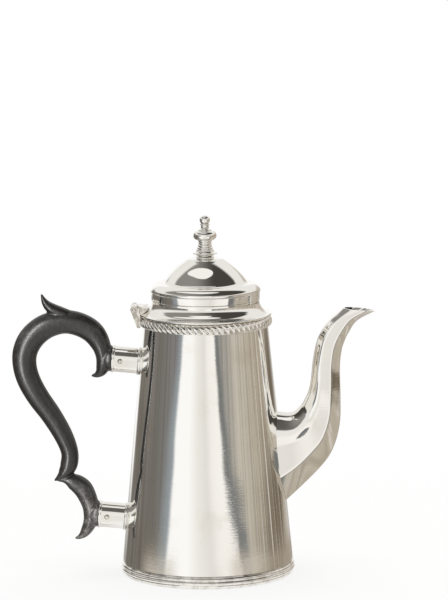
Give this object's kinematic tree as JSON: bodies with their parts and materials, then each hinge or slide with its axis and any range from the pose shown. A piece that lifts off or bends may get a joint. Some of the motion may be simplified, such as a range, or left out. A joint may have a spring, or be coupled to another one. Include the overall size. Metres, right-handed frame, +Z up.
{
  "type": "coffee pot",
  "caption": "Tapered round silver coffee pot with a faceted swan-neck spout, a rope rim, a hinged stepped lid with a turned finial, and a carved wooden scroll handle for pouring.",
  "frame": {"origin": "centre of the foot, on the plane that the pot stands on", "axes": "+Z up along the pot's axis; +X towards the spout; the handle lies towards -X"},
  "size_m": [0.2302, 0.111, 0.2287],
  "materials": {
    "silver": "polished, lightly worn",
    "wood": "ebonised, satin"
  },
  "bodies": {
    "pot": {"foot_ring": "silver", "base_plate": "silver", "body_shell": "silver", "rim_rope_border": "silver", "spout": "silver", "upper_socket": "silver", "lower_socket": "silver", "upper_socket_rim": "silver", "lower_socket_rim": "silver", "upper_handle_pin": "silver", "lower_handle_pin": "silver", "hinge_body_leaf": "silver", "hinge_pin": "silver", "handle": "wood"},
    "lid": {"lid_skirt": "silver", "lid_dome": "silver", "lid_bezel": "silver", "finial": "silver", "finial_washer": "silver", "finial_nut": "silver", "hinge_lid_leaf": "silver"}
  },
  "joints": [
    {"name": "lid_hinge", "type": "hinge", "parent": "pot", "child": "lid", "pos_m": [-0.04501, 0, 0.17], "axis": [0, -1, 0], "range_deg": [0, 100]}
  ]
}
